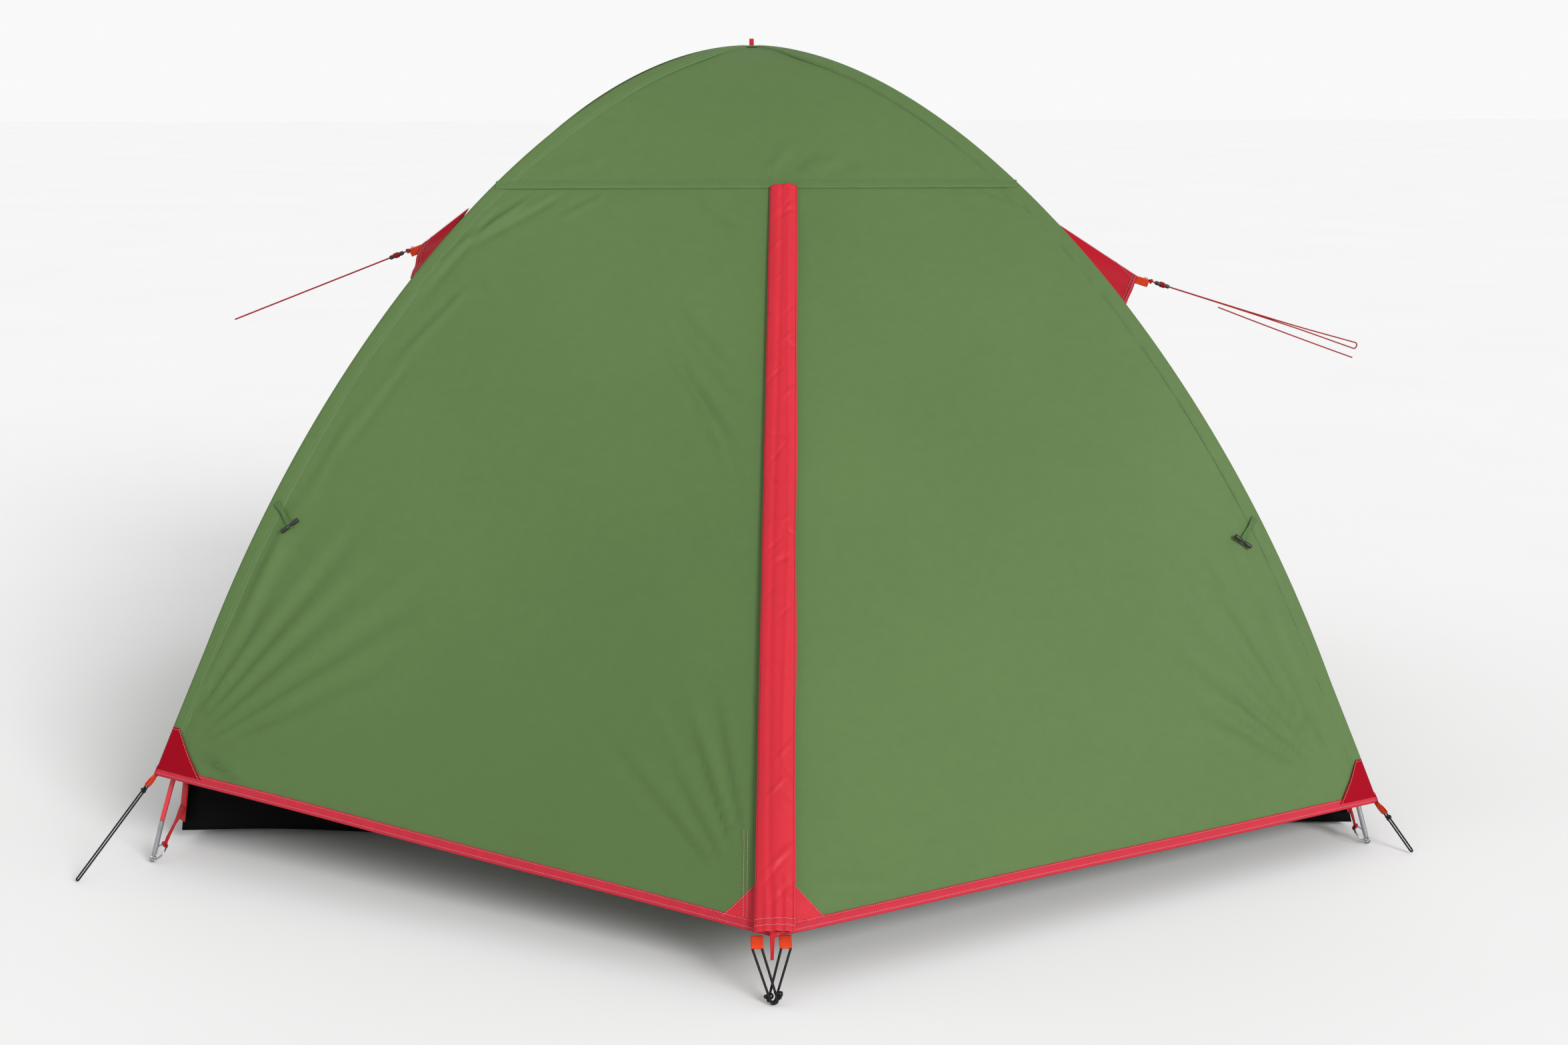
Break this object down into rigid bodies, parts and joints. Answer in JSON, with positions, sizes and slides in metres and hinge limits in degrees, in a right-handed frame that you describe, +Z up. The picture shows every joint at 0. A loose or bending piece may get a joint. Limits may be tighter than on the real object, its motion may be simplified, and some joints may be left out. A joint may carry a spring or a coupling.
{
  "type": "dome tent",
  "caption": "Double-wall dome tent on two crossing poles, with a flysheet, porches with zipped doors, vent hoods and guy lines.",
  "frame": {"origin": "on the ground under the crossing of the two poles, which is the middle of the footprint", "axes": "+X to the right of a person facing the front door, -Y out of the front door, +Z up"},
  "size_m": [2.3628, 2.7529, 1.3714],
  "materials": {
    "fly_cloth": "coated taffeta, slightly shiny",
    "red_cloth": "coated taffeta",
    "dark_red_cloth": "heavy coated cloth",
    "inner_cloth": "breathable cloth, matt",
    "mesh": "fine net",
    "floor": "coated groundsheet cloth",
    "orange_webbing": "woven tape",
    "red_webbing": "woven tape",
    "pole": "glass fibre rod, glossy",
    "steel": "zinc plated",
    "black_plastic": "moulded",
    "red_cord": "braided cord",
    "black_cord": "braided elastic",
    "zip_coil": "nylon coil"
  },
  "bodies": {
    "tent": {"apex_loop": "red_cloth", "corner_elastic_left": "black_cord", "corner_elastic_right": "black_cord", "corner_patches": "dark_red_cloth", "corner_straps": "red_webbing", "corner_tabs": "orange_webbing", "fly_gussets": "fly_cloth", "fly_roof_front": "fly_cloth", "fly_roof_rear": "fly_cloth", "fly_side_left": "fly_cloth", "fly_side_right": "fly_cloth", "groundsheet": "floor", "guy_line_left": "red_cord", "guy_line_right": "red_cord", "guy_tail_right": "red_cord", "hood_tabs": "orange_webbing", "inner_crown": "inner_cloth", "inner_front": "inner_cloth", "inner_rear": "inner_cloth", "inner_side_left": "inner_cloth", "inner_side_right": "inner_cloth", "pole_a_ferrules": "steel", "pole_a_sections": "pole", "pole_b_ferrules": "steel", "pole_b_sections": "pole", "pole_clips": "black_plastic", "pole_tips": "steel", "ring_pins": "steel", "side_bindings": "red_cloth", "vent_hood_left": "dark_red_cloth", "vent_hood_right": "dark_red_cloth", "vent_meshes": "mesh"},
    "leaf_front_left": {"door_front_left": "fly_cloth", "door_trim_front_left": "red_cloth", "peg_tab_front_left": "orange_webbing", "zip_front": "zip_coil", "peg_loop_left": "black_cord"},
    "leaf_front_right": {"door_front_right": "fly_cloth", "door_trim_front_right": "red_cloth", "peg_tab_front_right": "orange_webbing", "peg_loop_right": "black_cord"},
    "leaf_rear_left": {"door_rear_left": "fly_cloth", "door_trim_rear_left": "red_cloth", "peg_tab_rear_left": "orange_webbing"},
    "leaf_rear_right": {"door_rear_right": "fly_cloth", "door_trim_rear_right": "red_cloth", "peg_tab_rear_right": "orange_webbing", "zip_rear": "zip_coil"},
    "flap_front": {"storm_flap_front": "red_cloth"},
    "flap_rear": {"storm_flap_rear": "red_cloth"},
    "slider_front": {"zip_slider_front": "black_plastic"},
    "slider_rear": {"zip_slider_rear": "black_plastic"},
    "inner_leaf_front": {"inner_door_front": "inner_cloth"},
    "inner_leaf_rear": {"inner_door_rear": "inner_cloth"},
    "runner_left": {"guy_runner_left": "black_plastic"},
    "runner_right": {"guy_runner_right": "black_plastic"},
    "toggle_fl": {"toggle_front_left": "fly_cloth"},
    "toggle_fr": {"toggle_front_right": "fly_cloth"},
    "toggle_rl": {"toggle_rear_left": "fly_cloth"},
    "toggle_rr": {"toggle_rear_right": "fly_cloth"}
  },
  "joints": [
    {"name": "door_front_left_open", "type": "hinge", "parent": "tent", "child": "leaf_front_left", "pos_m": [-0.7079, -0.59909, 0.67581], "axis": [-0.4217, -0.3911, -0.818], "range_deg": [0, 105]},
    {"name": "door_front_right_open", "type": "hinge", "parent": "tent", "child": "leaf_front_right", "pos_m": [0.72854, -0.61093, 0.64624], "axis": [-0.4055, 0.3821, 0.8304], "range_deg": [0, 105]},
    {"name": "door_rear_right_open", "type": "hinge", "parent": "tent", "child": "leaf_rear_right", "pos_m": [0.7079, 0.59909, 0.67581], "axis": [0.4217, 0.3911, -0.818], "range_deg": [0, 105]},
    {"name": "door_rear_left_open", "type": "hinge", "parent": "tent", "child": "leaf_rear_left", "pos_m": [-0.72854, 0.61093, 0.64624], "axis": [0.4055, -0.3821, 0.8304], "range_deg": [0, 105]},
    {"name": "storm_flap_front_fold", "type": "hinge", "parent": "leaf_front_left", "child": "flap_front", "pos_m": [-0.0362, -1.30764, 0.10701], "axis": [-0.0401, -0.691, -0.7218], "range_deg": [0, 95]},
    {"name": "storm_flap_rear_fold", "type": "hinge", "parent": "leaf_rear_right", "child": "flap_rear", "pos_m": [0.0362, 1.30764, 0.10701], "axis": [0.0401, 0.691, -0.7218], "range_deg": [0, 95]},
    {"name": "zip_front_run", "type": "slide", "parent": "leaf_front_left", "child": "slider_front", "axis": [0.0398, 0.6961, 0.7168], "range_m": [0, 1.36]},
    {"name": "zip_rear_run", "type": "slide", "parent": "leaf_rear_right", "child": "slider_rear", "axis": [-0.0398, -0.6961, 0.7168], "range_m": [0, 1.36]},
    {"name": "inner_door_front_drop", "type": "hinge", "parent": "tent", "child": "inner_leaf_front", "pos_m": [0, -0.63338, 0.19], "axis": [-1, 0, 0], "range_deg": [0, 75]},
    {"name": "inner_door_rear_drop", "type": "hinge", "parent": "tent", "child": "inner_leaf_rear", "pos_m": [0, 0.63338, 0.19], "axis": [1, 0, 0], "range_deg": [0, 60]},
    {"name": "guy_left_tension", "type": "slide", "parent": "tent", "child": "runner_left", "axis": [-0.9321, 0, -0.3622], "range_m": [0, 0.12]},
    {"name": "guy_right_tension", "type": "slide", "parent": "tent", "child": "runner_right", "axis": [0.9539, 0, -0.3002], "range_m": [0, 0.12]},
    {"name": "toggle_front_left_swing", "type": "hinge", "parent": "tent", "child": "toggle_fl", "pos_m": [-0.83617, -0.61077, 0.59751], "axis": [-0.8091, -0.0623, -0.5844], "range_deg": [0, 80]},
    {"name": "toggle_front_right_swing", "type": "hinge", "parent": "tent", "child": "toggle_fr", "pos_m": [0.85672, -0.6252, 0.55751], "axis": [-0.8107, 0.0403, 0.5841], "range_deg": [0, 80]},
    {"name": "toggle_rear_right_swing", "type": "hinge", "parent": "tent", "child": "toggle_rr", "pos_m": [0.83617, 0.61077, 0.59751], "axis": [0.8091, 0.0623, -0.5844], "range_deg": [0, 80]},
    {"name": "toggle_rear_left_swing", "type": "hinge", "parent": "tent", "child": "toggle_rl", "pos_m": [-0.85672, 0.6252, 0.55751], "axis": [0.8107, -0.0403, 0.5841], "range_deg": [0, 80]}
  ]
}
